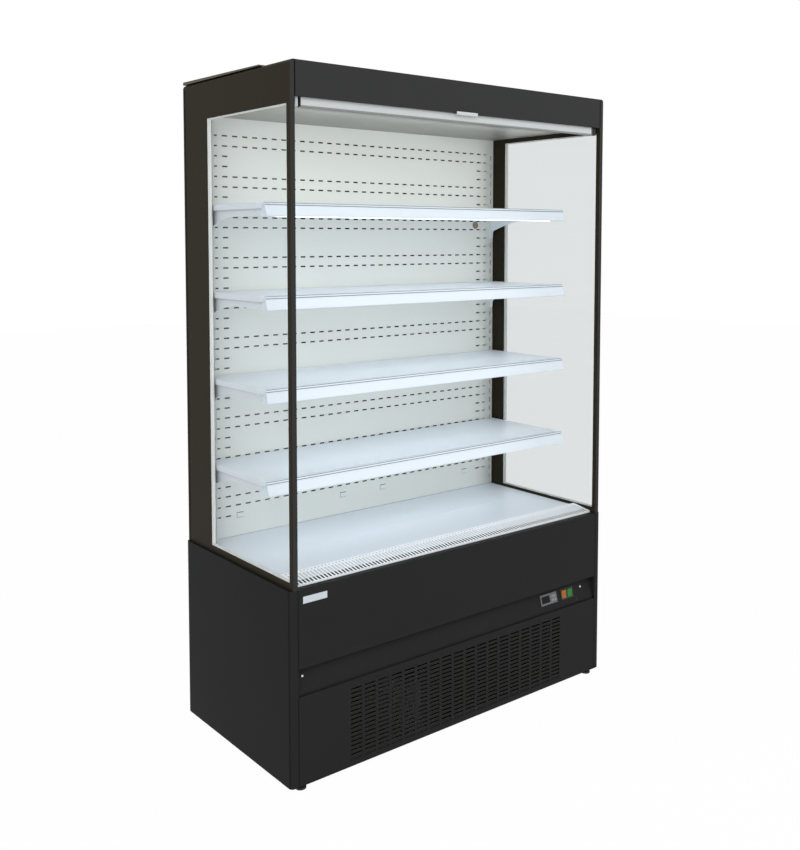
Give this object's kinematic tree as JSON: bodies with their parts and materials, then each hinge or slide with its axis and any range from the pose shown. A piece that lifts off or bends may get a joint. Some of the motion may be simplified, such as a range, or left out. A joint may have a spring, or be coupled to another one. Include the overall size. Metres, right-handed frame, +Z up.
{
  "type": "open multideck display refrigerator",
  "caption": "Open-fronted refrigerated display cabinet with hung shelves, glazed ends, a night blind and a louvred base that holds the cooling plant.",
  "frame": {"origin": "on the floor under the middle of the cabinet", "axes": "+X to the right seen from the open front, -Y out of the open front, +Z up"},
  "size_m": [1.25, 0.602, 1.9592],
  "materials": {
    "base_black_paint": "satin powder coat",
    "end_panel_paint": "satin powder coat",
    "fascia_paint": "satin powder coat",
    "galvanised": "dull zinc",
    "black_plastic": "matte",
    "controller_grey": "matte",
    "rocker_orange": "gloss",
    "rocker_green": "gloss",
    "plant_black": "semi gloss enamel",
    "coil_aluminium": "bare fins",
    "copper_pipe": "bare copper",
    "tub_plastic": "matte",
    "white_paint": "satin powder coat",
    "glazing": "clear",
    "lamp_cover": "diffuse",
    "blind_fabric": "woven",
    "bar_white": "satin",
    "rail_plastic": "satin"
  },
  "bodies": {
    "cabinet": {"base_chassis": "galvanised", "base_side_panel_left": "base_black_paint", "base_side_panel_right": "base_black_paint", "base_rear_cover": "base_black_paint", "louvred_front_panel": "base_black_paint", "upper_front_panel": "base_black_paint", "control_strip": "base_black_paint", "controller_housing": "controller_grey", "switch_frame": "black_plastic", "compressor": "plant_black", "condenser_coil": "plant_black", "condenser_fan_frame": "galvanised", "refrigerant_pipe": "copper_pipe", "evaporation_tray": "black_plastic", "evaporator_tub": "tub_plastic", "evaporator_coil": "coil_aluminium", "insulated_rear_wall": "end_panel_paint", "end_panel_left": "end_panel_paint", "end_panel_right": "end_panel_paint", "side_glass_left": "glazing", "side_glass_right": "glazing", "canopy_fascia": "fascia_paint", "canopy_roof": "base_black_paint", "ceiling_panel": "white_paint", "lamp_tube": "lamp_cover", "back_panel": "white_paint", "upright_left": "white_paint", "upright_right": "white_paint", "deck_pan": "white_paint", "air_return_grille": "white_paint", "blind_cassette": "white_paint"},
    "foot_front_left": {"levelling_foot_front_left": "black_plastic"},
    "foot_front_right": {"levelling_foot_front_right": "black_plastic"},
    "foot_rear_left": {"levelling_foot_rear_left": "black_plastic"},
    "foot_rear_right": {"levelling_foot_rear_right": "black_plastic"},
    "blind_bar": {"blind_pull_bar": "bar_white", "blind_cloth": "blind_fabric"},
    "blind_roll": {"blind_roller": "blind_fabric"},
    "shelf_1": {"shelf_1_tray": "white_paint", "shelf_1_price_rail": "rail_plastic", "shelf_1_bracket_left": "white_paint", "shelf_1_bracket_right": "white_paint"},
    "shelf_2": {"shelf_2_tray": "white_paint", "shelf_2_price_rail": "rail_plastic", "shelf_2_bracket_left": "white_paint", "shelf_2_bracket_right": "white_paint"},
    "shelf_3": {"shelf_3_tray": "white_paint", "shelf_3_price_rail": "rail_plastic", "shelf_3_bracket_left": "white_paint", "shelf_3_bracket_right": "white_paint"},
    "shelf_4": {"shelf_4_tray": "white_paint", "shelf_4_price_rail": "rail_plastic", "shelf_4_bracket_left": "white_paint", "shelf_4_bracket_right": "white_paint"},
    "rocker_left": {"rocker_switch_left": "rocker_orange"},
    "rocker_right": {"rocker_switch_right": "rocker_green"},
    "key_upper": {"controller_key_upper": "controller_grey"},
    "key_lower": {"controller_key_lower": "controller_grey"},
    "condenser_fan_wheel": {"condenser_fan": "black_plastic"},
    "evaporator_fan_wheel": {"evaporator_fan": "black_plastic"}
  },
  "joints": [
    {"name": "foot_front_left_turn", "type": "hinge", "parent": "cabinet", "child": "foot_front_left", "pos_m": [-0.582, -0.276, 0.015], "axis": [0, 0, 1], "continuous": true},
    {"name": "foot_front_right_turn", "type": "hinge", "parent": "cabinet", "child": "foot_front_right", "pos_m": [0.582, -0.276, 0.015], "axis": [0, 0, 1], "continuous": true},
    {"name": "foot_rear_left_turn", "type": "hinge", "parent": "cabinet", "child": "foot_rear_left", "pos_m": [-0.582, 0.276, 0.015], "axis": [0, 0, 1], "continuous": true},
    {"name": "foot_rear_right_turn", "type": "hinge", "parent": "cabinet", "child": "foot_rear_right", "pos_m": [0.582, 0.276, 0.015], "axis": [0, 0, 1], "continuous": true},
    {"name": "blind_pull", "type": "slide", "parent": "cabinet", "child": "blind_bar", "axis": [0, 0, -1], "range_m": [0, 1.265], "stiffness_N_per_m": 8, "springref_m": -0.9, "deforming": ["blind_cloth"]},
    {"name": "blind_roll_turn", "type": "hinge", "parent": "cabinet", "child": "blind_roll", "pos_m": [0, -0.26491, 1.8844], "axis": [1, 0, 0], "range_deg": [0, 3950]},
    {"name": "shelf_1_lift", "type": "hinge", "parent": "cabinet", "child": "shelf_1", "pos_m": [0, 0.211, 1.56], "axis": [-1, 0, 0], "range_deg": [0, 10]},
    {"name": "shelf_2_lift", "type": "hinge", "parent": "cabinet", "child": "shelf_2", "pos_m": [0, 0.211, 1.3025], "axis": [-1, 0, 0], "range_deg": [0, 10]},
    {"name": "shelf_3_lift", "type": "hinge", "parent": "cabinet", "child": "shelf_3", "pos_m": [0, 0.211, 1.045], "axis": [-1, 0, 0], "range_deg": [0, 10]},
    {"name": "shelf_4_lift", "type": "hinge", "parent": "cabinet", "child": "shelf_4", "pos_m": [0, 0.211, 0.7875], "axis": [-1, 0, 0], "range_deg": [0, 10]},
    {"name": "rocker_left_rock", "type": "hinge", "parent": "cabinet", "child": "rocker_left", "pos_m": [0.46071, -0.28103, 0.3031], "axis": [1, 0, 0], "range_deg": [-14, 0]},
    {"name": "rocker_right_rock", "type": "hinge", "parent": "cabinet", "child": "rocker_right", "pos_m": [0.48929, -0.28103, 0.3031], "axis": [1, 0, 0], "range_deg": [-14, 0]},
    {"name": "key_upper_press", "type": "slide", "parent": "cabinet", "child": "key_upper", "axis": [0, 0.9691, -0.2467], "range_m": [0, 0.0008], "stiffness_N_per_m": 900, "springref_m": -0.0004},
    {"name": "key_lower_press", "type": "slide", "parent": "cabinet", "child": "key_lower", "axis": [0, 0.9691, -0.2467], "range_m": [0, 0.0008], "stiffness_N_per_m": 900, "springref_m": -0.0004},
    {"name": "condenser_fan_spin", "type": "hinge", "parent": "cabinet", "child": "condenser_fan_wheel", "pos_m": [0.17, -0.1797, 0.1283], "axis": [0, 1, 0], "continuous": true},
    {"name": "evaporator_fan_spin", "type": "hinge", "parent": "cabinet", "child": "evaporator_fan_wheel", "pos_m": [0, -0.139, 0.4621], "axis": [0, 1, 0], "continuous": true}
  ],
  "couplings": [
    {"joint": "blind_roll_turn", "follows": "blind_pull", "rad_per_m": 54.348}
  ]
}
